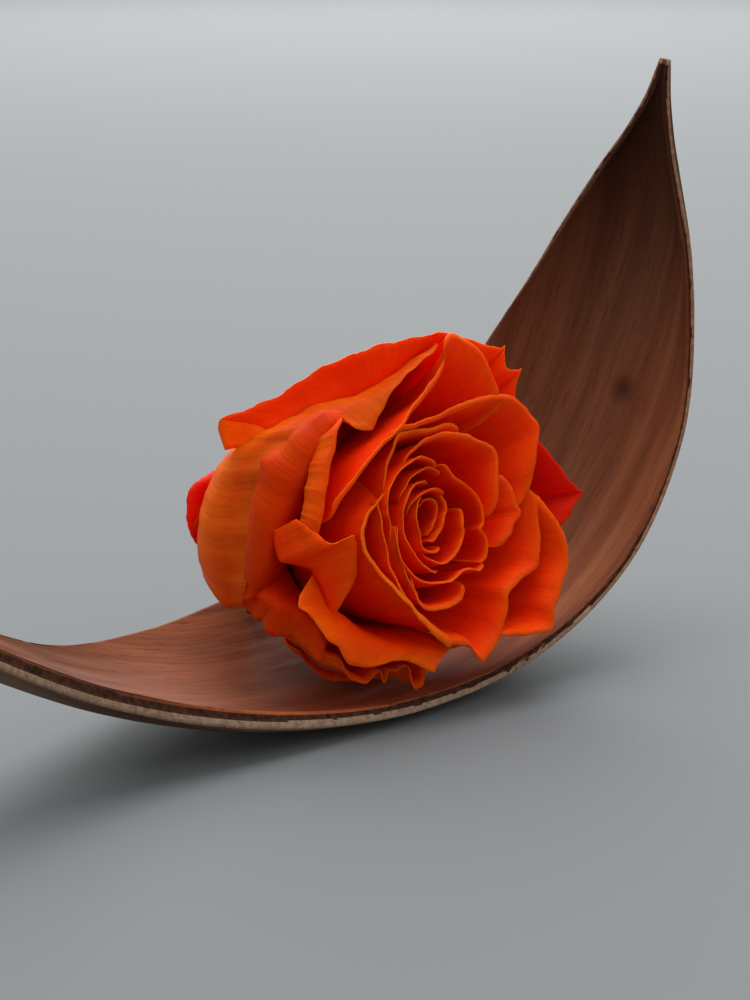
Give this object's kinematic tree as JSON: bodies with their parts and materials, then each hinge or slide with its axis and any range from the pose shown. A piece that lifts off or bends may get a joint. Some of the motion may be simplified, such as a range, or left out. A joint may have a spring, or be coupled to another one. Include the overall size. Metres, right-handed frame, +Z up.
{
  "type": "preserved rose bloom in a dried spathe boat",
  "caption": "Preserved rose bloom lying on its side in a curved, boat-shaped dried palm spathe that sweeps up to a narrow tip.",
  "frame": {"origin": "centre of the small flat spot under the spathe that it rests on, at the surface", "axes": "+X along the spathe towards its high tip, +Z up, -Y towards the side that leans down and that the bloom faces"},
  "size_m": [0.2148, 0.0639, 0.1131],
  "materials": {
    "dried_spathe": "satin red-brown dried spathe with fine lengthwise fibres, a dark inner band and a tan outer band on the cut rim",
    "preserved_petal": "soft matt preserved petal, bright orange-red inside, ochre-orange outside, with thin paler edges and fine veins",
    "dried_calyx": "matt olive green dried sepals and hip with a pale cut stem"
  },
  "bodies": {
    "root": {"spathe_boat": "dried_spathe", "rose_petals": "preserved_petal", "rose_calyx": "dried_calyx"}
  },
  "joints": []
}
